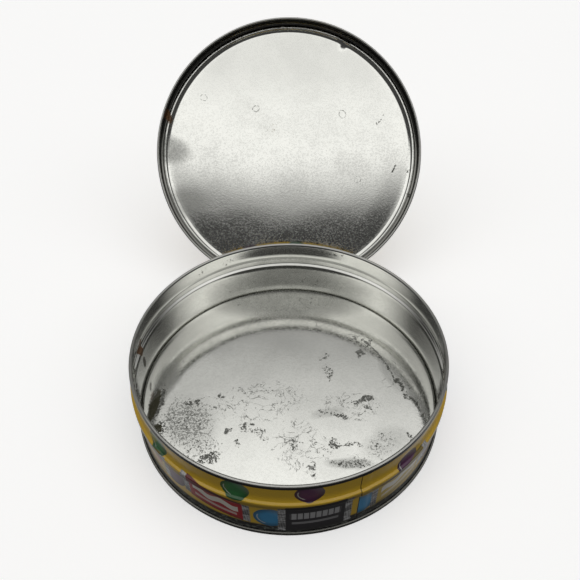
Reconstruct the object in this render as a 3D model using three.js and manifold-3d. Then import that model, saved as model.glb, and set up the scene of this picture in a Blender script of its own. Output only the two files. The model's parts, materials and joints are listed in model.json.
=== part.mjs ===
// Round slip-lid tin of thin tinplate: a rolled body wall, a seamed-on base and a drawn lid.
// The lid leans behind the open tin, with its inside facing the front.
// Units are millimetres, +Z is up, the front of the tin faces -Y.
// The origin is on the tin's axis, on the inside face of its base.

import * as THREE from 'three';
import { mergeVertices } from 'three/addons/utils/BufferGeometryUtils.js';
import Module from 'manifold-3d';

// Sheet and roundness
const SHEET = 0.3;
const ROUND_SEGMENTS = 60;
const GAP = 0.3;

// Body wall
const WALL_RADIUS = 100;
const BODY_HEIGHT = 51.7;
const RIM_CURL_RADIUS = 1.1;
const BEAD_HEIGHT = 32.6;
const BEAD_HALF_WIDTH = 3.6;
const BEAD_DEPTH = 1.6;
const CURL_SWEEP = 245;

// Base and its seam to the wall
const FLOOR_HEIGHT = 4.7;
const FLOOR_CORNER_RADIUS = 2;
const SEAM_TOP = 2.8;
const SEAM_CORNER_RADIUS = 0.6;
const SEAM_FOLD_RADIUS = 0.35;
const HOOK_RADIUS = 0.3;

// Side seam, where the wall's two ends lap
const LAP_ANGLE = -65.4;
const LAP_WIDTH = 4.5;
const LAP_RISE = 0.25;
const LAP_TOP = 49.5;

// Lid
const LID_RADIUS = 102.75;
const LID_CURL_RADIUS = 0.9;
const LID_DEPTH = 13.5;
const LID_CORNER_RADIUS = 2.2;
const STEP_RISE = 1.8;
const STEP_INNER_RADIUS = 3.4;
const STEP_OUTER_RADIUS = 0.6;
const STEP_FOOT_RADIUS = 98.6;

// The lid's place: seated on the tin, then turned back about the swing axis to where it leans
const SEATED_SHIFT = -0.6;
const SEATED_GAP = 0.4;
const SWING_ANGLE = 127.5;
const SWING_AXIS_Y = 93.43;
const SWING_AXIS_Z = 23.57;

const HALF_SHEET = SHEET / 2;
const degrees = THREE.MathUtils.degToRad;

const wasm = await Module();
wasm.setup();

// Points along an arc of the section, with angles in degrees from the outward direction.
function arc(centreRadius, centreHeight, radius, start, end, steps) {
  const points = [];
  for (let i = 0; i <= steps; i++) {
    const angle = degrees(start + ((end - start) * i) / steps);
    points.push(new THREE.Vector2(
      centreRadius + radius * Math.cos(angle),
      centreHeight + radius * Math.sin(angle),
    ));
  }
  return points;
}

// Outline of a bent sheet, half its thickness to each side of its middle line.
function sheetOutline(middle) {
  const left = [];
  const right = [];
  middle.forEach((point, i) => {
    const before = middle[Math.max(i - 1, 0)];
    const after = middle[Math.min(i + 1, middle.length - 1)];
    const arriving = point.clone().sub(before).normalize();
    const leaving = after.clone().sub(point).normalize();
    const along = arriving.clone().add(leaving).normalize();
    const halfTurn = Math.max(along.dot(arriving), along.dot(leaving));
    const offset = new THREE.Vector2(-along.y, along.x).multiplyScalar(HALF_SHEET / halfTurn);
    left.push(point.clone().add(offset));
    right.push(point.clone().sub(offset));
  });
  return [...right, ...left.reverse()];
}

// A sheet turned about the Z axis. A middle line that starts on the axis makes a disc.
function turnedSheet(middle) {
  const outline = sheetOutline(middle);
  if (middle[0].x > 0) {
    outline.push(outline[0].clone());
  }
  const geometry = new THREE.LatheGeometry(outline, ROUND_SEGMENTS);
  geometry.rotateX(Math.PI / 2);
  return geometry;
}

function toSolid(geometry) {
  const bare = geometry.clone();
  bare.deleteAttribute('normal');
  bare.deleteAttribute('uv');
  const merged = mergeVertices(bare, 1e-4);
  return new wasm.Manifold(new wasm.Mesh({
    numProp: 3,
    vertProperties: new Float32Array(merged.attributes.position.array),
    triVerts: new Uint32Array(merged.index.array),
  }));
}

function toGeometry(solid) {
  const mesh = solid.getMesh();
  const geometry = new THREE.BufferGeometry();
  geometry.setAttribute('position', new THREE.BufferAttribute(mesh.vertProperties, 3));
  geometry.setIndex(new THREE.BufferAttribute(mesh.triVerts, 1));
  geometry.computeVertexNormals();
  return geometry;
}

// The outward bead that stops the lid, on a wall of this middle radius.
function beadMiddle(middleRadius) {
  const steps = 6;
  const points = [];
  for (let i = 0; i <= steps; i++) {
    const across = (2 * i) / steps - 1;
    const swell = (BEAD_DEPTH * (1 + Math.cos(Math.PI * across))) / 2;
    points.push(new THREE.Vector2(middleRadius + swell, BEAD_HEIGHT + BEAD_HALF_WIDTH * across));
  }
  return points;
}

// The wall: a hook in the base seam, the straight wall with its outward bead, and the curled rim.
function wallMiddle() {
  const middleRadius = WALL_RADIUS - HALF_SHEET;
  const hookHeight = SHEET + GAP + HOOK_RADIUS + HALF_SHEET;
  const hookTop = SEAM_TOP - SHEET - GAP;
  const hook = [
    new THREE.Vector2(middleRadius + 2 * HOOK_RADIUS, hookTop),
    ...arc(middleRadius + HOOK_RADIUS, hookHeight, HOOK_RADIUS, 0, -180, 3),
  ];
  const curl = arc(
    WALL_RADIUS - RIM_CURL_RADIUS,
    BODY_HEIGHT - RIM_CURL_RADIUS,
    RIM_CURL_RADIUS - HALF_SHEET,
    0, CURL_SWEEP, 7,
  );
  return [...hook, ...beadMiddle(middleRadius), ...curl];
}

// The lapped side seam: a second thickness of sheet on the outside, from the base seam to the rim.
function lapSolid() {
  const layerRadius = WALL_RADIUS - HALF_SHEET + LAP_RISE;
  const layer = turnedSheet([
    new THREE.Vector2(layerRadius, SEAM_TOP + GAP),
    ...beadMiddle(layerRadius),
    new THREE.Vector2(layerRadius, LAP_TOP),
  ]);
  const halfSpan = LAP_WIDTH / 2 / WALL_RADIUS;
  const reach = 2 * WALL_RADIUS;
  const sector = new THREE.Shape([
    new THREE.Vector2(0, 0),
    ...[-halfSpan, halfSpan].map((side) => new THREE.Vector2(
      reach * Math.cos(degrees(LAP_ANGLE) + side),
      reach * Math.sin(degrees(LAP_ANGLE) + side),
    )),
  ]);
  const wedge = new THREE.ExtrudeGeometry(sector, { depth: BODY_HEIGHT, bevelEnabled: false });
  return toSolid(layer).intersect(toSolid(wedge));
}

function bodyWallGeometry() {
  return toGeometry(toSolid(turnedSheet(wallMiddle())).add(lapSolid()));
}

// The base: a raised floor, the wall of its countersink, the standing ring and the seam's outer leg.
function basePlateGeometry() {
  const floorMiddle = FLOOR_HEIGHT - HALF_SHEET;
  const countersinkRadius = WALL_RADIUS - SHEET - GAP - HALF_SHEET;
  const cornerMiddle = FLOOR_CORNER_RADIUS - HALF_SHEET;
  const ringCorner = SEAM_CORNER_RADIUS - HALF_SHEET;
  const legRadius = WALL_RADIUS + 2 * HOOK_RADIUS + GAP + HALF_SHEET;
  const hookEnd = WALL_RADIUS + GAP;
  return turnedSheet([
    new THREE.Vector2(0, floorMiddle),
    ...arc(countersinkRadius - cornerMiddle, floorMiddle - cornerMiddle, cornerMiddle, 90, 0, 3),
    ...arc(countersinkRadius + ringCorner, SEAM_CORNER_RADIUS, ringCorner, 180, 270, 2),
    ...arc(legRadius - ringCorner, SEAM_CORNER_RADIUS, ringCorner, -90, 0, 2),
    ...arc(
      legRadius - SEAM_FOLD_RADIUS, SEAM_TOP - HALF_SHEET - SEAM_FOLD_RADIUS, SEAM_FOLD_RADIUS,
      0, 90, 2,
    ),
    new THREE.Vector2(hookEnd, SEAM_TOP - HALF_SHEET),
  ]);
}

// The lid, seated, with its curled free edge at height 0: a raised panel, a stepped border,
// a narrow shoulder and a skirt.
function lidGeometry() {
  const shoulderMiddle = LID_DEPTH + HALF_SHEET;
  const panelMiddle = shoulderMiddle + STEP_RISE;
  const stepRadii = STEP_INNER_RADIUS + STEP_OUTER_RADIUS;
  const stepAngle = THREE.MathUtils.radToDeg(Math.acos(1 - STEP_RISE / stepRadii));
  const panelRadius = STEP_FOOT_RADIUS - stepRadii * Math.sin(degrees(stepAngle));
  const skirtMiddle = LID_RADIUS - HALF_SHEET;
  const cornerMiddle = LID_CORNER_RADIUS - HALF_SHEET;
  return turnedSheet([
    new THREE.Vector2(0, panelMiddle),
    ...arc(panelRadius, panelMiddle - STEP_INNER_RADIUS, STEP_INNER_RADIUS, 90, 90 - stepAngle, 3),
    ...arc(
      STEP_FOOT_RADIUS, shoulderMiddle + STEP_OUTER_RADIUS, STEP_OUTER_RADIUS,
      270 - stepAngle, 270, 2,
    ).slice(1),
    ...arc(skirtMiddle - cornerMiddle, shoulderMiddle - cornerMiddle, cornerMiddle, 90, 0, 3),
    ...arc(
      LID_RADIUS - LID_CURL_RADIUS, LID_CURL_RADIUS, LID_CURL_RADIUS - HALF_SHEET,
      0, -CURL_SWEEP, 7,
    ),
  ]);
}

function part(name, geometry, colour, roughness, metalness) {
  const material = new THREE.MeshStandardMaterial({ color: colour, roughness, metalness });
  const mesh = new THREE.Mesh(geometry, material);
  mesh.name = name;
  return mesh;
}

const bodyWall = part('body_wall', bodyWallGeometry(), 0xb8892a, 0.35, 0.3);
const basePlate = part('base_plate', basePlateGeometry(), 0xc9cac6, 0.32, 1);
const lid = part('lid', lidGeometry(), 0xc4c6c2, 0.3, 1);

const seatedHeight = BODY_HEIGHT + SEATED_GAP - LID_DEPTH;
lid.position.set(0, SEATED_SHIFT - SWING_AXIS_Y, seatedHeight - SWING_AXIS_Z);
const lidSwing = new THREE.Group();
lidSwing.position.set(0, SWING_AXIS_Y, SWING_AXIS_Z);
lidSwing.rotation.x = -degrees(SWING_ANGLE);
lidSwing.add(lid);

const tin = new THREE.Group();
tin.position.z = -FLOOR_HEIGHT;
tin.add(bodyWall, basePlate, lidSwing);

export default tin;
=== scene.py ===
# A round slip-lid tin, open, with its lid leaning behind it.
# Its three sheets are bare tinplate inside. The wall and the lid carry a printed pattern outside.
# Positions are in metres in the CAD frame: +Z is up, and the front of the tin faces -Y.
# The sheets' sections are in millimetres, as (radius, height).

import json
import math

import bpy
import numpy as np
from mathutils import Matrix, Vector, noise


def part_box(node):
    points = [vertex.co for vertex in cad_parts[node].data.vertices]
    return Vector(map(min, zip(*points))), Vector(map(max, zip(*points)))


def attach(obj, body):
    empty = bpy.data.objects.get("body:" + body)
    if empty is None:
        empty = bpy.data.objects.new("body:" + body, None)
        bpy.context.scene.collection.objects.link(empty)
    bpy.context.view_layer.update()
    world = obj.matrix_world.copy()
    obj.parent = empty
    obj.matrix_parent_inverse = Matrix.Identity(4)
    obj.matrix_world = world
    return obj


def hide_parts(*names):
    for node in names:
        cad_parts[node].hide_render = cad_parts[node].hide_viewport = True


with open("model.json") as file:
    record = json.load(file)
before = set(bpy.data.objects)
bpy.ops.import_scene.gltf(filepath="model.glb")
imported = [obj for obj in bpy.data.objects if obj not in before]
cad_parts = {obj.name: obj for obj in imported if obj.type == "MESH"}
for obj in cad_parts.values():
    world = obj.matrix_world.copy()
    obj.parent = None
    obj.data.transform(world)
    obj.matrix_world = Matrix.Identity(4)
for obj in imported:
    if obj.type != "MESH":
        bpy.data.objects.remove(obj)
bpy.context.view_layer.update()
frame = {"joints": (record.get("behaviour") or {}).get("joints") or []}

MM = 0.001

# Camera
CAMERA_PLACE = (0.00075, -0.2698, 0.3509)
CAMERA_PITCH = 43.62
CAMERA_LENS = 39.72

# Sheet and roundness. An even column this near to an extra one, in degrees, is left out.
SHEET = 0.3
HALF_SHEET = SHEET / 2
GAP = 0.3
COLUMNS = 288
COLUMN_CLEARANCE = 0.25
SHARP_ANGLE = 55
ON_AXIS = 1e-6

# Body wall. The bead's flanks run from its ends to its flat crest, and the blurs round their ends.
WALL_RADIUS = 100
BODY_HEIGHT = 51.7
RIM_CURL_RADIUS = 1.1
BEAD_HEIGHT = 32.6
BEAD_HALF_WIDTH = 3.6
BEAD_DEPTH = 1.6
BEAD_LOWER_FLANK = 1.9
BEAD_UPPER_FLANK = 1.2
BEAD_BLURS = (-0.15, -0.05, 0.05, 0.15)
BEAD_STEPS = 40
CURL_SWEEP = 245

# Base and its seam to the wall
FLOOR_HEIGHT = 4.7
FLOOR_CORNER_RADIUS = 2
SEAM_TOP = 2.8
SEAM_CORNER_RADIUS = 0.6
SEAM_FOLD_RADIUS = 0.35
HOOK_RADIUS = 0.3

# Side seam, with ways round in degrees. The outer layer's cut edge is this far right of the
# front. From there the layer rises over the cut, stands out up to the span and then sinks back.
SEAM_EDGE = 23.3
LAP_CUT = 0.06
LAP_SPAN = 2.6
LAP_SINK = 1.2
LAP_RISE = 0.25
LAP_TOP = 49.5

# Lid. Its curl is a touch smaller than the CAD's, so that the finer mesh stays within the CAD lid's
# bounds.
LID_RADIUS = 102.75
LID_CURL_RADIUS = 0.88
LID_DEPTH = 13.5
LID_CORNER_RADIUS = 2.2
STEP_RISE = 1.8
STEP_INNER_RADIUS = 3.4
STEP_OUTER_RADIUS = 0.6
STEP_FOOT_RADIUS = 98.6
SEATED_SHIFT = -0.6
SEATED_GAP = 0.4

MM_PER_DEGREE = WALL_RADIUS * math.pi / 180
STANDING_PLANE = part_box("base_plate")[0].z
STANDING = Matrix.Translation((0, 0, STANDING_PLANE))


# ---------------------------------------------------------------- camera, floor and light

def make_camera():
    data = bpy.data.cameras.new("camera")
    data.sensor_width = 36
    data.lens = CAMERA_LENS
    data.clip_start = 0.01
    data.clip_end = 50
    camera = bpy.data.objects.new("camera", data)
    camera.location = CAMERA_PLACE
    camera.rotation_euler = (math.radians(90 - CAMERA_PITCH), 0, 0)
    bpy.context.scene.collection.objects.link(camera)
    bpy.context.scene.camera = camera


class Value:
    """A socket that arithmetic can be done on. The other side may be a Value or a number."""

    def __init__(self, graph, socket):
        self.graph = graph
        self.socket = socket

    def __add__(self, other):
        return self.graph.math("ADD", self, other)

    def __radd__(self, other):
        return self.graph.math("ADD", other, self)

    def __sub__(self, other):
        return self.graph.math("SUBTRACT", self, other)

    def __rsub__(self, other):
        return self.graph.math("SUBTRACT", other, self)

    def __mul__(self, other):
        return self.graph.math("MULTIPLY", self, other)

    def __rmul__(self, other):
        return self.graph.math("MULTIPLY", other, self)

    def __truediv__(self, other):
        return self.graph.math("DIVIDE", self, other)


class Graph:
    """Adds nodes to a tree. Every input may be a Value, a number or a colour."""

    def __init__(self, tree):
        self.tree = tree

    def put(self, socket, given):
        if isinstance(given, Value):
            self.tree.links.new(given.socket, socket)
        else:
            socket.default_value = given

    def node(self, kind, inputs=None, **settings):
        made = self.tree.nodes.new(kind)
        for name, setting in settings.items():
            setattr(made, name, setting)
        for name, given in (inputs or {}).items():
            self.put(made.inputs[name], given)
        return made

    def math(self, operation, *given):
        made = self.node("ShaderNodeMath", operation=operation)
        for socket, value in zip(made.inputs, given):
            self.put(socket, value)
        return Value(self, made.outputs[0])

    def step(self, value, low, high, smooth=True):
        """0 where value is at or below low, 1 where it is at or above high; high may be the lower."""
        kind = "SMOOTHSTEP" if smooth else "LINEAR"
        made = self.node("ShaderNodeMapRange", interpolation_type=kind, clamp=True)
        for name, given in (("Value", value), ("From Min", low), ("From Max", high)):
            self.put(made.inputs[name], given)
        return Value(self, made.outputs[0])

    def between(self, value, low, high, soft):
        """1 between low and high, with an edge this soft."""
        return self.step(value, low - soft, low + soft) * self.step(value, high + soft, high - soft)

    def mix(self, factor, first, second, blend="MIX"):
        made = self.node("ShaderNodeMix", data_type="RGBA", blend_type=blend)
        self.put(made.inputs["Factor"], factor)
        self.put(made.inputs[6], first)
        self.put(made.inputs[7], second)
        return Value(self, made.outputs[2])

    def lerp(self, factor, first, second):
        made = self.node("ShaderNodeMix", data_type="FLOAT")
        self.put(made.inputs["Factor"], factor)
        self.put(made.inputs[2], first)
        self.put(made.inputs[3], second)
        return Value(self, made.outputs[0])

    def split(self, vector):
        made = self.node("ShaderNodeSeparateXYZ", {"Vector": vector})
        return [Value(self, output) for output in made.outputs]

    def join(self, x, y, z):
        made = self.node("ShaderNodeCombineXYZ", {"X": x, "Y": y, "Z": z})
        return Value(self, made.outputs[0])

    def place(self, placement):
        """Millimetres in the frame that a sheet was turned in, as a vector and its three parts."""
        back = placement.inverted()
        own = Value(self, self.node("ShaderNodeTexCoord").outputs["Object"])
        made = self.node("ShaderNodeMapping", {
            "Vector": own, "Location": back.translation / MM,
            "Rotation": back.to_euler(), "Scale": (1 / MM, 1 / MM, 1 / MM),
        })
        vector = Value(self, made.outputs[0])
        return vector, *self.split(vector)

    def noise(self, vector, size, detail=3.0, rough=0.55, distortion=0.0):
        """Noise between 0 and 1, with features of about this size."""
        made = self.node("ShaderNodeTexNoise", {
            "Vector": vector, "Scale": 1 / size, "Detail": detail,
            "Roughness": rough, "Distortion": distortion,
        })
        return Value(self, made.outputs["Fac"])

    def steps_ramp(self, position, colours):
        """One of these colours for each equal share of 0 to 1."""
        made = self.node("ShaderNodeValToRGB", {"Fac": position})
        ramp = made.color_ramp
        ramp.interpolation = "CONSTANT"
        while len(ramp.elements) < len(colours):
            ramp.elements.new(1)
        for i, colour in enumerate(colours):
            ramp.elements[i].position = i / len(colours)
            ramp.elements[i].color = (*colour, 1)
        return Value(self, made.outputs["Color"])

    def pick(self, position, numbers):
        """One of these numbers for each equal share of 0 to 1."""
        low, high = min(numbers), max(numbers)
        shares = [((number - low) / (high - low),) * 3 for number in numbers]
        return self.split(self.steps_ramp(position, shares))[0] * (high - low) + low

    def wander(self, vector, size, reach):
        """Two offsets of up to about this reach, which change over about this size."""
        made = self.node("ShaderNodeTexNoise", {
            "Vector": vector, "Scale": 1 / size, "Detail": 3.0, "Roughness": 0.55,
        })
        first, second, _ = self.split(Value(self, made.outputs["Color"]))
        return (first - 0.5) * reach, (second - 0.5) * reach


def new_material(name):
    material = bpy.data.materials.new(name)
    material.use_nodes = True
    material.node_tree.nodes.clear()
    return material, Graph(material.node_tree)


def finish_material(graph, shader):
    graph.node("ShaderNodeOutputMaterial", {"Surface": Value(graph, shader.outputs[0])})


# The sky's strength overhead, low in front, and low at the sides and behind
SKY_BRIGHT = 1.08
SKY_DIM = 0.05
SKY_LOW = 0.5
SKY_WHITE = (1, 0.995, 0.98, 1)
BACKDROP = (0.93, 0.93, 0.93, 1)

# The overhead light begins and is full at these elevations, in degrees. In front it weakens again
# by a share of itself, and its edge sinks towards the sides, by this much of the elevation's sine.
FRONT_EDGE = (36.5, 43.5)
BACK_EDGE = (43, 61)
FRONT_FADE = (46, 51)
FRONT_FADE_SHARE = 0.17
SIDE_SINK = 0.22

# Ways round are cosines: 1 is straight behind the tin, and -1 straight in front.
SINK_WAY = (-0.98, -0.5)
LOW_LIGHT_WAY = (-0.35, 0.5)
LOW_LIGHT_RISE = (0.45, 0.25)
FRONT_TO_BACK = (-0.3, 0.3)


def elevation(degrees):
    return math.sin(math.radians(degrees))


def sky_strength(graph, x, y, z):
    """How bright the sky is in this direction, where z is the sine of the elevation."""
    way_round = y / graph.math("SQRT", x * x + y * y + 0.0001)
    sink = graph.step(way_round, *SINK_WAY) * SIDE_SINK
    front = graph.step(z + sink, *map(elevation, FRONT_EDGE))
    front = front * (1.0 - graph.step(z, *map(elevation, FRONT_FADE)) * FRONT_FADE_SHARE)
    back = graph.step(z, *map(elevation, BACK_EDGE), smooth=False)
    overhead = graph.lerp(graph.step(y, *FRONT_TO_BACK), front, back)
    low_light = graph.step(way_round, *LOW_LIGHT_WAY) * graph.step(z, *LOW_LIGHT_RISE)
    return SKY_DIM + overhead * (SKY_BRIGHT - SKY_DIM) + low_light * (SKY_LOW - SKY_DIM)


def make_world():
    """A wide soft light overhead, its edge sharp towards the front and gradual behind, over a
    dark front and dimmer sides and back. Past the floor the camera sees a plain pale backdrop."""
    world = bpy.data.worlds.new("studio")
    world.use_nodes = True
    world.node_tree.nodes.clear()
    graph = Graph(world.node_tree)
    direction = Value(graph, graph.node("ShaderNodeTexCoord").outputs["Generated"])
    strength = sky_strength(graph, *graph.split(direction))
    light = graph.node("ShaderNodeBackground", {"Color": SKY_WHITE, "Strength": strength})
    pale = graph.node("ShaderNodeBackground", {"Color": BACKDROP, "Strength": 1.0})
    seen = Value(graph, graph.node("ShaderNodeLightPath").outputs["Is Camera Ray"])
    mixed = graph.node("ShaderNodeMixShader")
    graph.put(mixed.inputs[0], seen)
    graph.put(mixed.inputs[1], Value(graph, light.outputs[0]))
    graph.put(mixed.inputs[2], Value(graph, pale.outputs[0]))
    graph.node("ShaderNodeOutputWorld", {"Surface": Value(graph, mixed.outputs[0])})
    bpy.context.scene.world = world


FLOOR_HALF = 4.0
FLOOR_PALE = (0.86, 0.86, 0.86, 1)
FLOOR_GLOW = 0.42


def make_floor():
    """The plain pale floor. It takes shadows but throws no light back on the tin."""
    mesh = bpy.data.meshes.new("studio_floor")
    corners = [(x * FLOOR_HALF, y * FLOOR_HALF, STANDING_PLANE)
               for x, y in ((-1, -1), (1, -1), (1, 1), (-1, 1))]
    mesh.from_pydata(corners, [], [(0, 1, 2, 3)])
    floor = bpy.data.objects.new("studio_floor", mesh)
    bpy.context.scene.collection.objects.link(floor)
    material, graph = new_material("studio_floor")
    shader = graph.node("ShaderNodeBsdfPrincipled", {
        "Base Color": FLOOR_PALE, "Roughness": 0.9,
        "Emission Color": (1, 1, 1, 1), "Emission Strength": FLOOR_GLOW,
    })
    finish_material(graph, shader)
    mesh.materials.append(material)
    floor.visible_diffuse = False
    floor.visible_glossy = False


# ---------------------------------------------------------------- sheets

def arc(centre_radius, centre_height, radius, start, end, steps):
    """Points along an arc of the section, with angles in degrees from the outward direction."""
    return [
        (centre_radius + radius * math.cos(a), centre_height + radius * math.sin(a))
        for a in np.radians(np.linspace(start, end, steps + 1))
    ]


def line(start, end, steps):
    """Points from start up to, but not including, end."""
    start, end = np.array(start, float), np.array(end, float)
    return [tuple(start + (end - start) * i / steps) for i in range(steps)]


def sheet_faces(middle):
    """The two faces of a bent sheet, left and right of the way that its middle line runs."""
    middle = np.array(middle, float)
    steps = np.diff(middle, axis=0)
    steps /= np.linalg.norm(steps, axis=1)[:, None]
    arriving = np.vstack([steps[:1], steps])
    leaving = np.vstack([steps, steps[-1:]])
    along = arriving + leaving
    along /= np.linalg.norm(along, axis=1)[:, None]
    reach = HALF_SHEET / (along * arriving).sum(1)
    offset = np.column_stack([-along[:, 1], along[:, 0]]) * reach[:, None]
    return middle + offset, middle - offset


def turn_from(start, angle):
    """The turn from start to angle, in degrees between -180 and 180."""
    return (angle - start + 180) % 360 - 180


def column_angles(extra=()):
    """Angles of the columns round the axis, in radians from +X. Extra ones come in degrees."""
    even = np.arange(COLUMNS) * 360 / COLUMNS
    kept = [a for a in even if all(abs(turn_from(e, a)) > COLUMN_CLEARANCE for e in extra)]
    return np.radians(sorted([*kept, *(e % 360 for e in extra)]))


def turned_points(middle, angles, warp):
    """The points of a sheet turned about Z, and the rings of its left and right faces. A ring is
    the number of its first point and how many points it has, which is one on the axis."""
    points = []
    rings_of_faces = ([], [])
    for side, outline in enumerate(sheet_faces(middle)):
        for radius, height in outline:
            count = len(angles) if radius > ON_AXIS else 1
            rings_of_faces[side].append((len(points), count))
            for angle in angles[:count]:
                r, a, h = warp(radius, angle, height, side == 1)
                points.append((r * math.cos(a), r * math.sin(a), h))
    return points, rings_of_faces


def strip(lower, upper, columns):
    """The faces between two rings."""
    def at(ring, column):
        first, count = ring
        return first + (column % columns if count > 1 else 0)

    faces = []
    for j in range(columns):
        corners = [at(lower, j), at(lower, j + 1), at(upper, j + 1), at(upper, j)]
        faces.append(tuple(dict.fromkeys(corners)))
    return faces


def turned_sheet(name, middle, angles, materials, warp, placement):
    """A sheet turned about Z and then placed, as one closed mesh. The first material is on its
    left face, and the second on its right face and its edges. warp moves the points: it takes
    radius, angle, height and whether the point is on the right face, and returns the first three."""
    points, (left, right) = turned_points(middle, angles, warp)
    strips = []
    for i in range(len(middle) - 1):
        strips.append((left[i + 1], left[i], 0))
        strips.append((right[i], right[i + 1], 1))
    starts_on_axis = left[0][1] == 1
    if not starts_on_axis:
        strips.append((left[0], right[0], 1))
    strips.append((right[-1], left[-1], 1))
    faces = []
    slots = []
    for lower, upper, slot in strips:
        faces += strip(lower, upper, len(angles))
        slots += [slot] * len(angles)
    mesh = bpy.data.meshes.new(name)
    mesh.from_pydata(np.array(points) * MM, [], faces)
    for material in materials:
        mesh.materials.append(material)
    mesh.polygons.foreach_set("material_index", slots)
    mesh.shade_smooth()
    mesh.set_sharp_from_angle(angle=math.radians(SHARP_ANGLE))
    mesh.transform(placement)
    piece = bpy.data.objects.new(name, mesh)
    bpy.context.scene.collection.objects.link(piece)
    return piece


def ripple(x, y, z, size, height):
    """A gentle waviness of sheet metal, at most about this high."""
    return height * noise.noise(Vector((x, y, z)) / size)


def bead_flank(distance, flank):
    """0 to 1 over the length of a flank, with rounded ends."""
    overrun = BEAD_BLURS[-1]
    share = distance / flank * (1 + 2 * overrun) - overrun
    return sum(np.clip(share + blur, 0, 1) for blur in BEAD_BLURS) / len(BEAD_BLURS)


def bead_middle(middle_radius):
    """The outward bead: a flat crest between a sloping lower flank and a steep upper one."""
    foot, head = BEAD_HEIGHT - BEAD_HALF_WIDTH, BEAD_HEIGHT + BEAD_HALF_WIDTH
    heights = np.linspace(foot, head, BEAD_STEPS + 1)
    rise = bead_flank(heights - foot, BEAD_LOWER_FLANK)
    fall = bead_flank(head - heights, BEAD_UPPER_FLANK)
    return list(zip(middle_radius + BEAD_DEPTH * rise * fall, heights))


def wall_middle():
    """A hook in the base seam, the straight wall with its outward bead, and the curled rim."""
    radius = WALL_RADIUS - HALF_SHEET
    hook_height = SHEET + GAP + HOOK_RADIUS + HALF_SHEET
    hook_top = SEAM_TOP - SHEET - GAP
    curl_height = BODY_HEIGHT - RIM_CURL_RADIUS
    bead = bead_middle(radius)
    return [
        (radius + 2 * HOOK_RADIUS, hook_top),
        *arc(radius + HOOK_RADIUS, hook_height, HOOK_RADIUS, 0, -180, 8)[:-1],
        *line((radius, hook_height), bead[0], 9),
        *bead,
        *line(bead[-1], (radius, curl_height), 5)[1:],
        *arc(WALL_RADIUS - RIM_CURL_RADIUS, curl_height, RIM_CURL_RADIUS - HALF_SHEET,
             0, CURL_SWEEP, 28),
    ]


def lap_rise(angle, height):
    """How far the outer layer of the side seam stands out of the wall."""
    past_edge = turn_from(SEAM_EDGE - 90, math.degrees(angle))
    if not 0 < past_edge < LAP_SPAN + LAP_SINK or not SEAM_TOP < height < LAP_TOP:
        return 0
    risen = min(past_edge / LAP_CUT, 1)
    sunk = min(max((past_edge - LAP_SPAN) / LAP_SINK, 0), 1)
    return LAP_RISE * risen * (1 - sunk)


# The wall's straight stretches widen a little upwards: heights, and how far in the wall is there.
# The amount was chosen by the light that they reflect in the photograph.
LEAN_HEIGHTS = (2.8, 6, 28.5, 36.4, 38.5, 49)
LEAN_INWARDS = (0, 0.6, 0, 0, 0.5, 0)

# Ripples, as their length and height, and sags of the two flat panels. The ripples fade towards
# the folds: on the wall over a height, and on a panel over an ease inside its radius.
WALL_RIPPLE = (26, 0.09)
WALL_EASE = 6
RIM_HELD = 2
FLOOR_RIPPLE = (34, 0.1)
FLOOR_SAG = 0.12
FLOOR_SAG_RADIUS = 95
FLOOR_SAG_EASE = 12
LID_RIPPLE = (40, 0.1)
LID_SAG = 0.1
LID_SAG_RADIUS = 93
LID_SAG_EASE = 15

# The floor and the lid take their ripples from different heights in the noise.
FLOOR_SLICE = 0
LID_SLICE = 7


def warp_wall(radius, angle, height, outside):
    """A slight lean, gentle waves away from the seam and the rim, and the lap of the side seam."""
    x, y = radius * math.cos(angle), radius * math.sin(angle)
    radius -= np.interp(height, LEAN_HEIGHTS, LEAN_INWARDS)
    above_seam = max(height - SEAM_TOP, 0)
    below_rim = max(BODY_HEIGHT - RIM_HELD - height, 0)
    free = min(above_seam / WALL_EASE, below_rim / WALL_EASE, 1)
    radius -= free * abs(ripple(x, y, height, *WALL_RIPPLE))
    if outside:
        radius += lap_rise(angle, height)
    return radius, angle, height


def make_wall(bare, printed):
    seam = SEAM_EDGE - 90
    sinking = LAP_SPAN + LAP_SINK / 2
    around_seam = (-0.3, 0, LAP_CUT, 0.3, 1.2, LAP_SPAN, sinking, LAP_SPAN + LAP_SINK)
    angles = column_angles([seam + offset for offset in around_seam])
    wall = turned_sheet("wall_sheet", wall_middle(), angles, (bare, printed), warp_wall, STANDING)
    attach(wall, "tin")
    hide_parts("body_wall")


def base_middle():
    """The raised floor, its countersink, the standing ring and the seam's outer leg."""
    floor = FLOOR_HEIGHT - HALF_SHEET
    countersink = WALL_RADIUS - SHEET - GAP - HALF_SHEET
    corner = FLOOR_CORNER_RADIUS - HALF_SHEET
    ring_corner = SEAM_CORNER_RADIUS - HALF_SHEET
    leg = WALL_RADIUS + 2 * HOOK_RADIUS + GAP + HALF_SHEET
    fold_height = SEAM_TOP - HALF_SHEET - SEAM_FOLD_RADIUS
    return [
        *line((0, floor), (countersink - corner, floor), 32),
        *arc(countersink - corner, floor - corner, corner, 90, 0, 10),
        *arc(countersink + ring_corner, SEAM_CORNER_RADIUS, ring_corner, 180, 270, 6),
        *arc(leg - ring_corner, SEAM_CORNER_RADIUS, ring_corner, -90, 0, 6),
        *arc(leg - SEAM_FOLD_RADIUS, fold_height, SEAM_FOLD_RADIUS, 0, 90, 5),
        (WALL_RADIUS + GAP, SEAM_TOP - HALF_SHEET),
    ]


def warp_base(radius, angle, height, _underside):
    """A floor that sags a little and waves, inside its countersink."""
    x, y = radius * math.cos(angle), radius * math.sin(angle)
    free = min(max(FLOOR_SAG_RADIUS - radius, 0) / FLOOR_SAG_EASE, 1)
    free *= min(height, FLOOR_HEIGHT) / FLOOR_HEIGHT
    sag = FLOOR_SAG + ripple(x, y, FLOOR_SLICE, *FLOOR_RIPPLE)
    return radius, angle, height - free * max(sag, 0)


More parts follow.
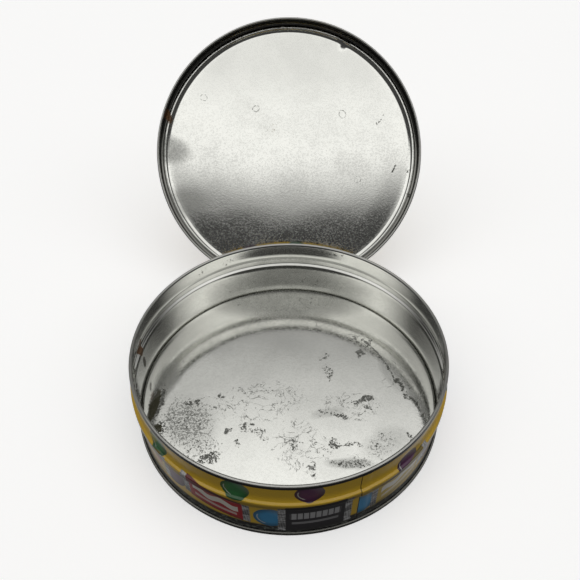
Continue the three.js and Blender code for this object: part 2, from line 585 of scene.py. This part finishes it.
def make_base(bare, dull):
    angles = column_angles()
    base = turned_sheet("base_sheet", base_middle(), angles, (bare, dull), warp_base, STANDING)
    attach(base, "tin")
    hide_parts("base_plate")


def lid_middle():
    """The raised panel, its stepped border, the shoulder, the skirt and the curled free edge,
    with the lid seated and its free edge at height 0."""
    shoulder = LID_DEPTH + HALF_SHEET
    panel = shoulder + STEP_RISE
    radii = STEP_INNER_RADIUS + STEP_OUTER_RADIUS
    step_angle = math.degrees(math.acos(1 - STEP_RISE / radii))
    panel_radius = STEP_FOOT_RADIUS - radii * math.sin(math.radians(step_angle))
    skirt = LID_RADIUS - HALF_SHEET
    corner = LID_CORNER_RADIUS - HALF_SHEET
    return [
        *line((0, panel), (panel_radius, panel), 32),
        *arc(panel_radius, panel - STEP_INNER_RADIUS, STEP_INNER_RADIUS, 90, 90 - step_angle, 9),
        *arc(STEP_FOOT_RADIUS, shoulder + STEP_OUTER_RADIUS, STEP_OUTER_RADIUS,
             270 - step_angle, 270, 5)[1:],
        *arc(skirt - corner, shoulder - corner, corner, 90, 0, 10),
        *line((skirt, shoulder - corner), (skirt, LID_CURL_RADIUS), 6)[1:],
        *arc(LID_RADIUS - LID_CURL_RADIUS, LID_CURL_RADIUS, LID_CURL_RADIUS - HALF_SHEET,
             0, -CURL_SWEEP, 26),
    ]


# The bruise's place, depth and width. The skirt below the top's folds has no part in it.
BRUISE_ANGLE = -64
BRUISE_RADIUS = 96.5
BRUISE_DEPTH = 0.9
BRUISE_WIDTH = 2.2
LID_FOLDS_HEIGHT = LID_DEPTH - 3


def warp_lid(radius, angle, height, _inside):
    """A wavy panel, and a small bruise that has pushed the step inwards at one place."""
    x, y = radius * math.cos(angle), radius * math.sin(angle)
    free = min(max(LID_SAG_RADIUS - radius, 0) / LID_SAG_EASE, 1)
    drop = free * (LID_SAG + ripple(x, y, LID_SLICE, *LID_RIPPLE))
    way_round = turn_from(BRUISE_ANGLE, math.degrees(angle)) * MM_PER_DEGREE
    off_bruise = math.hypot(way_round, radius - BRUISE_RADIUS)
    if height > LID_FOLDS_HEIGHT:
        drop += BRUISE_DEPTH * math.exp(-(off_bruise / BRUISE_WIDTH) ** 2)
    return radius, angle, height - max(drop, 0)


def lid_placement():
    """From the lid's own frame, seated and flat, to where it leans."""
    joint = next(j for j in frame["joints"] if j["name"] == "lid_swing")
    pivot = Matrix.Translation(joint["pos_m"])
    swing = Matrix.Rotation(-math.radians(joint["range_deg"][1]), 4, Vector(joint["axis"]))
    seated_height = (BODY_HEIGHT + SEATED_GAP - LID_DEPTH) * MM + STANDING_PLANE
    seated = Matrix.Translation((0, SEATED_SHIFT * MM, seated_height))
    return pivot @ swing @ pivot.inverted() @ seated


LEANING = lid_placement()


def make_lid(bare, printed):
    angles = column_angles()
    lid = turned_sheet("lid_sheet", lid_middle(), angles, (printed, bare), warp_lid, LEANING)
    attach(lid, "lid")
    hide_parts("lid")


# ---------------------------------------------------------------- bare tinplate

TIN = (0.84, 0.845, 0.805, 1)
# The wall's inside is the same tinplate made darker, as painted shade
SHADED_WALL_TIN = (0.70, 0.70, 0.67, 1)
RIM_TIN = (0.42, 0.42, 0.40, 1)
GRAIN_TIN = (0.3, 0.3, 0.28, 1)
EDGE_TARNISH_AND_SHADE = (0.10, 0.097, 0.085, 1)
# Real smears, and the painted dark reflections among them, darken towards this colour
SMEAR_AND_REFLECTION_TIN = (0.16, 0.165, 0.15, 1)
CLOUD_SHADE = 0.9
TARNISH = (0.06, 0.062, 0.052, 1)
OLIVE = (0.040, 0.037, 0.016, 1)
RUST = (0.17, 0.075, 0.022, 1)
TAN = (0.50, 0.45, 0.33, 1)

# Sizes in millimetres of what the noises draw on the sheet
GRAIN_SIZE = 1.3
CLOUD_SIZE = 24
SPECK_SIZE = 1.25
BLOTCH_SIZE = 4.6
VEIN_SIZE = 13.0

# How far marks wander from where they are placed, and the share of it that crisp marks wander
WANDER_SIZE = 11.0
WANDER_REACH = 16.0
CRISP_WANDER = 0.25

# Strengths of the fine relief, and its depth in metres
TIN_BUMP = 0.13
PRINT_BUMP = 0.1
BUMP_DEPTH = 0.0001

# A patch is full inside the lower of these and gone past the higher, by its squared distance.
PATCH_EDGE = (1.6, 0.1)


def patches(graph, x, y, marks):
    """The strongest of these soft patches. Each mark is its middle, its two half sizes, its turn
    in degrees and its strength."""
    total = 0.0
    for middle_x, middle_y, half_long, half_short, turn, strength in marks:
        c, s = math.cos(math.radians(turn)), math.sin(math.radians(turn))
        dx, dy = x - middle_x, y - middle_y
        long = (dx * c + dy * s) / half_long
        short = (dy * c - dx * s) / half_short
        one = graph.step(long * long + short * short, *PATCH_EDGE) * strength
        total = graph.math("MAXIMUM", total, one)
    return total


def rings(graph, x, y, marks):
    """The thin outlines that drops have left. Each mark is its middle and its radius."""
    total = 0.0
    for middle_x, middle_y, radius in marks:
        dx, dy = x - middle_x, y - middle_y
        away = graph.math("SQRT", dx * dx + dy * dy)
        off_line = graph.math("ABSOLUTE", away - radius)
        total = graph.math("MAXIMUM", total, graph.step(off_line, 0.5, 0.1))
    return total


def streaks(graph, x, y, marks):
    """Worn lines that run round the axis. Each mark is its radius at both ends, the bearings of
    both ends in degrees, its width and its strength."""
    away = graph.math("SQRT", x * x + y * y)
    bearing = graph.math("ARCTAN2", y, x) * (180 / math.pi)
    total = 0.0
    for first_radius, last_radius, first, last, width, strength in marks:
        part = (bearing - first) / (last - first)
        line_radius = part * (last_radius - first_radius) + first_radius
        off_line = graph.math("ABSOLUTE", away - line_radius)
        one = graph.step(off_line, width, 0.0) * graph.between(part, 0.0, 1.0, 0.08)
        total = graph.math("MAXIMUM", total, one * strength)
    return total


def spots(graph, fine, ragged, density, clean):
    """Dark spots with ragged edges, close together where the density is high."""
    spot = graph.step(ragged - (0.70 + clean * 0.06) + density * 0.22, 0.0, 0.05)
    return spot * graph.step(fine, 0.2, 0.55)


def pepper(graph, fine, density):
    """Fine separate specks, and none where there is no density."""
    speck = graph.step(fine - 0.72 + density * 0.27, 0.0, 0.08)
    return speck * graph.step(density, 0.02, 0.3)


def veins(graph, vector, ragged, density):
    """Thin broken lines that branch, along the middle level of a slow noise."""
    level = graph.noise(vector, VEIN_SIZE, 3.5, 0.62, 1.4)
    outline = graph.step(graph.math("ABSOLUTE", level - 0.5), 0.018, 0.004)
    return outline * graph.step(ragged + density, 1.34, 1.5)


def wear(graph, vector, x, y, marks, clean):
    """How tarnished the sheet is, from 0 to 1, the smears and painted dark reflections that only dull
    it, and the ragged noise that the marks follow. clean is how free the rest of the sheet is of
    specks."""
    fine = graph.noise(vector, SPECK_SIZE, 3.0, 0.7, 0.4)
    coarse = graph.noise(vector, BLOTCH_SIZE, 4.0, 0.75, 0.9)
    ragged = fine * 0.45 + coarse * 0.55
    wander_x, wander_y = graph.wander(vector, WANDER_SIZE, WANDER_REACH)
    loose = (x + wander_x, y + wander_y)
    crisp = (x + wander_x * CRISP_WANDER, y + wander_y * CRISP_WANDER)

    def marked(kind, place, draw=patches):
        return draw(graph, *place, marks.get(kind, ()))

    density = graph.math("MAXIMUM", marked("worn", loose), marked("streaked", crisp, streaks))
    drops = marked("ringed", crisp, rings) * graph.step(ragged, 0.47, 0.56)
    dark = spots(graph, fine, ragged, density, clean)
    for lesser, strength in (
        (pepper(graph, fine, marked("peppered", loose)), 0.62),
        (veins(graph, vector, ragged, marked("veined", loose)), 0.7),
        (drops, 0.75),
    ):
        dark = graph.math("MAXIMUM", dark, lesser * strength)
    # Smears dull the sheet; some of them are painted dark reflections
    smear_and_reflection = marked("smears_and_reflections", crisp) * (0.4 + ragged * 0.8)
    return dark, smear_and_reflection, ragged


def clean_tin(graph, tone, grain, cloud):
    """The sheet's own colour, with faint clouds and a slightly darker grain."""
    clouded = tuple(CLOUD_SHADE * part for part in tone[:3]) + (1,)
    colour = graph.mix(graph.step(cloud, 0.38, 0.68) * 0.6, tone, clouded)
    return graph.mix(graph.step(grain, 0.42, 0.62) * 0.07, colour, GRAIN_TIN)


def stained(graph, x, y, marks, ragged, colour, matt):
    """The colour and the dullness given, with the olive, rusty and tan stains laid over them."""
    for ink, kind in ((OLIVE, "olive"), (RUST, "rusty"), (TAN, "tan")):
        if kind in marks:
            density = patches(graph, x, y, marks[kind])
            stain = graph.step(density + (ragged - 0.5) * 2.6, 0.5, 0.75)
            stain = stain * graph.step(density, 0.02, 0.2)
            colour = graph.mix(stain * 0.9, colour, ink)
            matt = graph.math("MAXIMUM", matt, stain * 0.7)
    return colour, matt


def tinplate(name, placement, marks, unrolled=False, clean=0.0, tone=TIN, roughness=0.05,
             rough_grain=0.11, edge=None):
    """Bare tinplate: a fine rolled grain and faint clouds, with the marks of use and some painted
    dark reflections. The marks are placed by x and y, or on an unrolled wall by the way round from
    the front and the height. Past the radius called edge the sheet is darker: tarnish, and painted
    shade."""
    material, graph = new_material(name)
    vector, x, y, z = graph.place(placement)
    away = graph.math("SQRT", x * x + y * y)
    grain = graph.noise(vector, GRAIN_SIZE, 2.0, 0.6)
    cloud = graph.noise(vector, CLOUD_SIZE, 4.0, 0.6)
    if unrolled:
        x, y = graph.math("ARCTAN2", x, -1.0 * y) * WALL_RADIUS, z
    dark, smear_and_reflection, ragged = wear(graph, vector, x, y, marks, clean)
    colour = clean_tin(graph, tone, grain, cloud)
    # Past edge the sheet is darkened: tarnish, with painted shade
    if edge:
        past_edge = graph.step(away, edge - 0.5, edge + 1.0)
        colour = graph.mix(past_edge * 0.85, colour, EDGE_TARNISH_AND_SHADE)
    # Smears and painted dark reflections darken the colour
    colour = graph.mix(smear_and_reflection, colour, SMEAR_AND_REFLECTION_TIN)
    colour = graph.mix(dark * 0.9, colour, TARNISH)
    matt = graph.math("MAXIMUM", dark, smear_and_reflection * 0.6)
    colour, matt = stained(graph, x, y, marks, ragged, colour, matt)
    mottle = graph.step(grain * 0.75 + cloud * 0.25, 0.40, 0.64)
    bump = graph.node("ShaderNodeBump", {
        "Height": grain - dark * 0.2, "Strength": TIN_BUMP, "Distance": BUMP_DEPTH,
    })
    shader = graph.node("ShaderNodeBsdfPrincipled", {
        "Base Color": colour, "Metallic": 1.0 - matt * 0.4,
        "Roughness": roughness + mottle * rough_grain + matt * 0.35,
        "Normal": Value(graph, bump.outputs[0]),
    })
    finish_material(graph, shader)
    return material


# The marks of use on each sheet, in millimetres. Those of the lid are placed in its own frame,
# where y falls towards the top of the leaning lid. The last smear of the floor and the first two of
# the lid stand for soft dark reflections.
FLOOR_MARKS = {
    "worn": [
        (-88, -12, 3.4, 17, -8, 1.7), (-84, -32, 5, 6, 10, 1.3), (-78, 22, 4, 3, 0, 0.8),
        (-68, -22, 16, 20, 15, 0.72), (-50, -54, 5, 13, -50, 1.15), (-58, -42, 9, 12, 0, 0.8),
        (-64, -11, 9, 2.5, 5, 1.1), (-52, -15, 8, 6, 0, 0.8), (-41, -33, 5, 2.2, 25, 1.2),
        (-33, -42, 3.4, 2.6, 0, 1.2), (-28, -30, 6.5, 5.5, 0, 1.1), (-19, -36, 8, 5, -20, 0.95),
        (49, -10, 9, 4, 8, 1.35), (54, -17, 5, 2.2, -50, 1.2), (34, -21, 6, 3, 5, 1.4),
        (25, -19, 9, 2.5, 5, 0.9), (51, 32, 4, 6, -35, 1.15), (45, 46, 9, 5, 0, 0.85),
        (27, 14, 3, 10, 15, 0.9), (24, 30, 5, 3, 0, 0.9), (29, -43, 4.5, 3, 0, 1.15),
        (40, -44, 8, 3.5, 0, 0.95), (38, -57, 14, 3, 3, 0.95), (58, -42, 14, 8, 30, 0.72),
        (-62, -48, 5, 9, -50, 0.95), (56, 40, 4, 7, -40, 1.0), (79, -37, 4, 3, 30, 1.1),
        (4, -43, 4, 6, 0, 1.0), (15, -60, 4, 9, 10, 0.9),
        (-40, 80, 4, 2, 0, 0.9), (-46, -5, 4, 3, 0, 1.05), (10, -35, 14, 9, 0, 0.6),
        (-20, -2, 26, 5, -12, 0.7), (-5, -20, 60, 44, 0, 0.42), (30, 5, 40, 50, 0, 0.34),
    ],
    "peppered": [
        (-67, -26, 19, 22, 20, 1.05), (-54, -46, 12, 12, 0, 0.8), (58, -44, 16, 9, 30, 0.7),
        (38, -56, 16, 4.5, 5, 0.95), (42, -14, 22, 10, 0, 0.5),
    ],
    # Smears; the last one is a painted dark reflection across the floor's back
    "smears_and_reflections": [
        (-84, 10, 8, 14, -12, 0.6), (38, -57, 14, 4, 0, 0.55), (-66, -26, 18, 24, 20, 0.28),
        (62, -42, 18, 10, 30, 0.24), (26, -19, 12, 4, 15, 0.3), (72, 12, 6, 16, 22, 0.35),
        (86, -10, 3.5, 12, 25, 0.7), (0, 85, 64, 17, 0, 0.75),
    ],
    "veined": [(-18, -10, 48, 24, 10, 1.0), (8, -45, 26, 28, 0, 1.05), (42, -14, 28, 18, 0, 1.0)],
    "olive": [(-90, -14, 3.2, 15, -8, 1.1), (-85, -32, 3.6, 5, 0, 1.0)],
    "ringed": [
        (13, 87, 4.6), (17, 61, 3.8), (46, 47, 4.2), (68, 6, 3.6), (-54, -14, 8.0), (72, 22, 3.8),
    ],
    "streaked": [
        (70, 74, 42, 3, 2.6, 1.25), (75, 80, 8, -6, 4.0, 1.3), (82, 92, -4, -15, 4.0, 1.35),
    ],
}
WALL_MARKS = {
    "worn": [
        (-268, 42, 9, 3, 0, 0.9), (-247, 42, 7, 3, 0, 0.9), (283, 48, 13, 2, 0, 1.1),
        (-120, 30, 50, 12, 0, 0.45), (150, 30, 50, 14, 0, 0.4),
    ],
    "rusty": [(-170, 33, 4, 8, 0, 1.2)],
    "olive": [(-170, 18, 3, 6, 0, 0.9)],
}
LID_MARKS = {
    "worn": [
        (86, 8, 1.6, 4.5, 10, 1.5), (95, 12, 3, 2, 0, 1.3), (95, 30, 4, 2.5, 30, 1.3),
        (73, -29, 5, 1.2, -25, 1.2), (77, -45, 4, 3, 0, 0.9), (44, -78, 4, 3, 0, 0.9),
        (62, -38, 3, 2, 0, 0.9), (0, 0, 90, 90, 0, 0.10),
    ],
    # The first two smears are painted dark reflections on the lid's left
    "smears_and_reflections": [(-98, -6, 20, 11, 12, 0.62), (-90, 38, 26, 13, -8, 0.5), (-12, -22, 13, 9, 0, 0.05)],
    "tan": [(-14, -22, 7, 6, 0, 0.45)],
    "ringed": [(42, -33, 2.6), (-68, -46, 2.4), (-26, -37, 2.4), (55, 18, 2.8)],
    "rusty": [(-96, -32, 3, 9, -18, 0.9)],
}
UNDERSIDE_MARKS = {
    "worn": [(0, 0, 95, 95, 0, 0.35), (30, -20, 20, 12, 30, 0.7)],
    "ringed": [(30, 20, 9), (-42, -30, 6)],
}


# ---------------------------------------------------------------- the print

INK_YELLOW = (0.70, 0.45, 0.03, 1)
INK_BLACK = (0.006, 0.006, 0.007, 1)
FOIL = (0.55, 0.55, 0.56, 1)
GREEN = (0.035, 0.19, 0.055)
PURPLE = (0.10, 0.022, 0.085)
BLUE = (0.05, 0.30, 0.58)
RED = (0.42, 0.012, 0.02)
CHARCOAL = (0.022, 0.02, 0.024)
GOLD = (0.55, 0.38, 0.03)
BROWN = (0.10, 0.028, 0.015)
CREAM = (0.80, 0.76, 0.68)
GREY = (0.42, 0.42, 0.43)
SHADOW = (0.0, 0.0, 0.0, 1)
GLOW = (0.75, 0.75, 0.75, 1)
GLINT = (0.7, 0.72, 0.7, 1)
FOIL_FOLD = (0.02, 0.02, 0.02, 1)
FOOT_GLINT = (0.20, 0.22, 0.19, 1)
PRINT_DIRT = (0.02, 0.02, 0.02, 1)

# The wall's picture repeats in cells, and the first cell's middle is this far right of the front,
# in degrees.
CELLS = 11
CELL_SPAN = 360 / CELLS
CELL_MIDDLE = 8.9

# Heights on the wall where the dark foot ends, the print turns black and the rim is bare
FOOT_TOP = 9.5
BLACK_FROM = 49.0
BARE_RIM = (51.0, 51.1)

# The lid's black ring, by radius, and the heights of its skirt's line and its bare curl
LID_RING = (92.5, 94.5)
SKIRT_LINE = (2.4, 4.2)
BARE_CURL = (1.9, 1.7)
PRINT_EDGE = 0.1

# A bar's half length, the foil's length past it, and the sweets' radii
BAR_HALF_LONG = 17.0
FOIL_LENGTH = 4.2
HIGH_SWEET_RADIUS = 8.3
LOW_SWEET_RADIUS = 10.0

# The lid's sweets
LID_INKS = (GREEN, PURPLE, BLUE, RED, BROWN, PURPLE, GREEN)
SWEET_PITCH = 25.0
ROW_PITCH = SWEET_PITCH * 0.87
SWEET_JITTER = 5.0

# Sizes in millimetres of the scuffs, scratches and grain of the print
SCUFF_SIZE = 3.0
SCRATCH_SIZE = 1.2
INK_GRAIN_SIZE = 0.35


def cells(graph, angle, middle):
    """Equal cells round the wall. Gives the millimetres from the cell's middle line, and where
    the cell's number falls between 0 and 1."""
    turn = graph.math("WRAP", (angle - (middle - CELL_SPAN / 2)) / 360, 1.0, 0.0) * CELLS
    number = graph.math("FLOOR", turn)
    along = (turn - number - 0.5) * (CELL_SPAN * MM_PER_DEGREE)
    return along, (number + 0.5) / CELLS


def round_sweet(graph, ground, dx, dy, radius, ink):
    """A glossy round sweet with a darker edge and a pale arc of light on its left."""
    away = graph.math("SQRT", dx * dx + dy * dy) / radius
    body = graph.step(away, 1.02, 0.98)
    shade = graph.mix(graph.step(away, 0.45, 1.0) * 0.55, ink, SHADOW)
    glow = graph.step(dx + dy, radius * 0.2, radius * 1.6)
    shade = graph.mix(glow * 0.18, shade, GLOW)
    bearing = graph.math("ARCTAN2", dy, -1.0 * dx)
    arc_light = graph.between(away, 0.74, 0.81, 0.02) * graph.between(bearing, -1.15, 0.35, 0.12)
    shade = graph.mix(arc_light * 0.75, shade, GLINT)
    return graph.mix(body, ground, shade)


def foil_ends(graph, ground, dx, dy, inside, tall):
    """Crimped foil with a zigzag edge, past both ends of a bar."""
    zigzag = graph.math("PINGPONG", dy, 1.1) * 0.7
    foil = graph.step(inside - zigzag, -FOIL_LENGTH - 0.6, -FOIL_LENGTH - 0.3)
    foil = foil * graph.step(graph.math("ABSOLUTE", tall), 0.95, 0.92)
    ridge = graph.step(graph.math("PINGPONG", dx + dy * 0.12, 0.75), 0.1, 0.6)
    folds = graph.noise(graph.join(dx * 0.5, dy, 0.0), 3.0, 3.0, 0.6, 1.0)
    shade = ridge * 0.25 + graph.step(folds, 0.42, 0.6) * 0.65
    return graph.mix(foil, ground, graph.mix(shade, FOIL, FOIL_FOLD))


def bar_label(graph, dx, dy, inside, blocky):
    """Where the label's plain shapes are: a row of blocks where blocky is 1, or else a wave, over
    a thin rule."""
    wave = dy - 1.4 * graph.math("SINE", dx * 0.40)
    waves = graph.between(wave, -2.2, 3.4, 0.15)
    apart = graph.step(graph.math("PINGPONG", dx, 1.75), 0.25, 0.4)
    blocks = graph.between(dy, -1.8, 5.2, 0.12) * apart
    shape = graph.lerp(blocky, waves, blocks) * graph.step(inside, 2.4, 2.7)
    rule = graph.between(dy, -7.6, -5.0, 0.1) * graph.step(inside, 3.4, 3.7) * 0.6
    return graph.math("MAXIMUM", shape, rule)


def wrapped_bar(graph, ground, dx, dy, half_high, ink, label, blocky):
    """A wrapped bar, darker along its top and bottom, with foil at both ends. It has plain shapes
    in place of a name."""
    inside = BAR_HALF_LONG - graph.math("ABSOLUTE", dx)
    tall = dy / half_high
    picture = foil_ends(graph, ground, dx, dy, inside, tall)
    body = graph.step(inside, -0.15, 0.15) * graph.step(graph.math("ABSOLUTE", tall), 1.015, 0.985)
    tone = graph.mix(graph.step(tall, 0.4, 1.0) * 0.7, ink, SHADOW)
    tone = graph.mix(graph.step(tall, -0.75, -1.0) * 0.6, tone, SHADOW)
    tone = graph.mix(bar_label(graph, dx, dy, inside, blocky), tone, label)
    return graph.mix(body, picture, tone)


# The pictures round the wall, starting at the dark bar near the front and going right round.
# Each bar has a colour, a label colour, whether its label is blocks, its shift along the wall
# and height in millimetres, its half height and its slope.
BARS = [
    (CHARCOAL, GREY, 1, -0.3, 18.5, 15.0, 0.03),
    (GOLD, CREAM, 0, -2.4, 22.5, 12.0, 0.158),
    (RED, CREAM, 0, 0.0, 21.0, 11.5, -0.10),
    (CHARCOAL, GREY, 1, 1.0, 19.0, 14.0, 0.05),
    (BROWN, CREAM, 0, -1.0, 21.5, 12.0, -0.06),
    (GOLD, RED, 1, 0.0, 22.0, 12.0, 0.12),
    (RED, CREAM, 0, 1.5, 21.5, 11.5, -0.09),
    (BROWN, GOLD, 1, 0.0, 19.5, 13.5, 0.0),
    (CHARCOAL, GREY, 1, -1.0, 19.0, 14.0, 0.06),
    (GOLD, RED, 0, 0.0, 22.0, 12.0, 0.11),
    (RED, CREAM, 0, -1.7, 22.5, 11.6, -0.15),
]
# The sweet above each bar, and the one to the left of it: its colour, shift and height.
HIGH_SWEETS = [
    (PURPLE, -4.2, 44.0), (PURPLE, 1.0, 36.5), (GREEN, 9.0, 41.0), (BLUE, -9.0, 43.0),
    (PURPLE, -4.0, 43.5), (GREEN, 7.0, 42.0), (PURPLE, -8.0, 43.0), (GREEN, 9.0, 42.0),
    (BLUE, 0.0, 44.0), (GREEN, 14.5, 42.0), (GREEN, 12.0, 42.2),
]
LOW_SWEETS = [
    (BLUE, 2.9, 17.5), (BLUE, -1.0, 18.0), (PURPLE, -1.0, 21.0), (BLUE, 1.5, 18.0),
    (PURPLE, 0.0, 20.0), (GREEN, -1.0, 19.0), (BLUE, 1.0, 18.0), (PURPLE, 0.0, 21.0),
    (GREEN, 1.0, 18.0), (GREEN, 0.0, 19.0), (PURPLE, -3.7, 22.0),
]


def sweets_row(graph, ground, along, up, number, sweets, radius):
    """One sweet in each cell, from a table of colours, shifts and heights."""
    inks, shifts, heights = zip(*sweets)
    dx = along - graph.pick(number, shifts)
    dy = up - graph.pick(number, heights)
    return round_sweet(graph, ground, dx, dy, radius, graph.steps_ramp(number, inks))


def bars_row(graph, ground, along, up, number):
    """One wrapped bar in each cell."""
    inks, labels, blocks, shifts, heights, half_heights, slopes = zip(*BARS)
    dx = along - graph.pick(number, shifts)
    dy = up - graph.pick(number, heights) - dx * graph.pick(number, slopes)
    return wrapped_bar(
        graph, ground, dx, dy, graph.pick(number, half_heights), graph.steps_ramp(number, inks),
        graph.steps_ramp(number, labels), graph.pick(number, blocks),
    )


def print_ground(graph, along, up, number):
    """The yellow ground, over a dark foot with pale glints."""
    ground = graph.mix(graph.step(up, FOOT_TOP, 7.0), INK_YELLOW, INK_BLACK)
    glints = graph.noise(graph.join(along, up * 2.2, number * 40), 5.0, 2.0, 0.5, 1.5)
    glints = graph.step(up, FOOT_TOP, 8.0) * graph.step(glints, 0.54, 0.58)
    return graph.mix(glints * 0.55, ground, FOOT_GLINT)


def print_ink(graph, angle, up):
    """The wall's printed picture, by the angle to the right of the front and the height. The low
    sweets stop short of the side seam."""
    along, number = cells(graph, angle, CELL_MIDDLE)
    low_along, low_number = cells(graph, angle, CELL_MIDDLE - CELL_SPAN / 2)
    ground = print_ground(graph, along, up, number)
    covered = sweets_row(graph, ground, low_along, up, low_number, LOW_SWEETS, LOW_SWEET_RADIUS)
    before_seam = graph.between(angle, SEAM_EDGE - 6, SEAM_EDGE, 0.03)
    picture = graph.mix(before_seam, covered, ground)
    picture = sweets_row(graph, picture, along, up, number, HIGH_SWEETS, HIGH_SWEET_RADIUS)
    return bars_row(graph, picture, along, up, number)


def printed(name, placement, picture_of):
    """Varnished ink on tinplate, scuffed through in places. picture_of gives the ink's colour, and
    1 where the print has ended."""
    material, graph = new_material(name)
    vector, x, y, z = graph.place(placement)
    picture, bare = picture_of(graph, x, y, z)
    scuff_field = graph.noise(vector, SCUFF_SIZE, 5.0, 0.7, 0.6)
    scratches = graph.noise(graph.join(x * 0.3, y * 0.3, z * 3.0), SCRATCH_SIZE, 3.0)
    scuffs = graph.step(scuff_field * 0.7 + scratches * 0.3, 0.66, 0.7) * 0.55
    ink_grain = graph.noise(vector, INK_GRAIN_SIZE, 2.0)
    picture = graph.mix(ink_grain * 0.16, picture, PRINT_DIRT)
    metal = graph.math("MAXIMUM", bare, scuffs)
    bump = graph.node("ShaderNodeBump", {
        "Height": ink_grain * 0.4 - scuffs, "Strength": PRINT_BUMP, "Distance": BUMP_DEPTH,
    })
    shader = graph.node("ShaderNodeBsdfPrincipled", {
        "Base Color": graph.mix(metal, picture, RIM_TIN), "Metallic": metal,
        "Roughness": graph.lerp(metal, 0.3, 0.26) + scuff_field * 0.06,
        "Coat Weight": 0.3, "Coat Roughness": 0.1, "Normal": Value(graph, bump.outputs[0]),
    })
    finish_material(graph, shader)
    return material


def wall_picture(graph, x, y, z):
    """The wall's print, with painted shade along the bead, and black at the side seam and under the
    rim.
    """
    angle = graph.math("ARCTAN2", x, -1.0 * y) * (180 / math.pi)
    picture = print_ink(graph, angle, z)
    # Painted shade: the print darkened over the bead's lower flank and crest
    painted_bead_shade = graph.step(z, 28.5, 31.5) * graph.step(z, 35.0, 32.5)
    picture = graph.mix(painted_bead_shade * 0.55, picture, INK_BLACK)
    seam_line = graph.between(angle, SEAM_EDGE - 0.22, SEAM_EDGE + 0.02, 0.03)
    under_rim = graph.step(z, BLACK_FROM - PRINT_EDGE, BLACK_FROM + PRINT_EDGE)
    picture = graph.mix(graph.math("MAXIMUM", under_rim, seam_line), picture, INK_BLACK)
    return picture, graph.step(z, *BARE_RIM)


def lid_sweets(graph, x, y):
    """Sweets in staggered rows on yellow, each a little off its place and of its own colour."""
    row = graph.math("FLOOR", y / ROW_PITCH)
    stagger = graph.math("MODULO", row + 20.0, 2.0) * (SWEET_PITCH / 2)
    column = graph.math("FLOOR", (x + stagger) / SWEET_PITCH)
    pick = graph.node("ShaderNodeTexWhiteNoise", {"Vector": graph.join(column, row, 0.0)},
                      noise_dimensions="2D")
    number = Value(graph, pick.outputs["Value"])
    aside, ahead, _ = graph.split(Value(graph, pick.outputs["Color"]))
    dx = x + stagger - (column + 0.5) * SWEET_PITCH + (aside - 0.5) * SWEET_JITTER
    dy = y - (row + 0.5) * ROW_PITCH + (ahead - 0.5) * SWEET_JITTER
    ink = graph.steps_ramp(number, LID_INKS)
    return round_sweet(graph, INK_YELLOW, dx, dy, 8.4 + ahead * 1.4, ink)


def lid_picture(graph, x, y, z):
    """Sweets inside a black ring on the panel, and a plain yellow skirt with a black line."""
    picture = lid_sweets(graph, x, y)
    away = graph.math("SQRT", x * x + y * y)
    picture = graph.mix(graph.between(away, *LID_RING, PRINT_EDGE), picture, INK_BLACK)
    ring_end = LID_RING[1]
    past_ring = graph.step(away, ring_end - PRINT_EDGE, ring_end + PRINT_EDGE)
    picture = graph.mix(past_ring, picture, INK_YELLOW)
    skirt_line = graph.between(z, *SKIRT_LINE, PRINT_EDGE) * graph.step(away, 101, 102)
    picture = graph.mix(skirt_line, picture, INK_BLACK)
    return picture, graph.step(z, *BARE_CURL)


# ---------------------------------------------------------------- the whole

def make_tin():
    # The wall's inside takes the darker tinplate: painted shade
    bare_wall = tinplate("bare_wall", STANDING, WALL_MARKS, unrolled=True, clean=0.5, tone=SHADED_WALL_TIN,
                         roughness=0.04, rough_grain=0.03)
    make_wall(bare_wall, printed("printed_wall", STANDING, wall_picture))
    # The seam's outer leg is darkened, as tarnish and painted shade
    underside = tinplate("dull_underside", STANDING, UNDERSIDE_MARKS, roughness=0.25, edge=99.8)
    bare_floor = tinplate("bare_floor", STANDING, FLOOR_MARKS, roughness=0.09, rough_grain=0.07)
    make_base(bare_floor, underside)
    # The lid's shoulder and skirt are darkened, as painted shade with some tarnish
    bare_lid = tinplate("bare_lid", LEANING, LID_MARKS, clean=1.0, edge=98.9)
    make_lid(bare_lid, printed("printed_lid", LEANING, lid_picture))


make_camera()
make_floor()
make_world()
bpy.context.scene.view_settings.view_transform = "Standard"
make_tin()
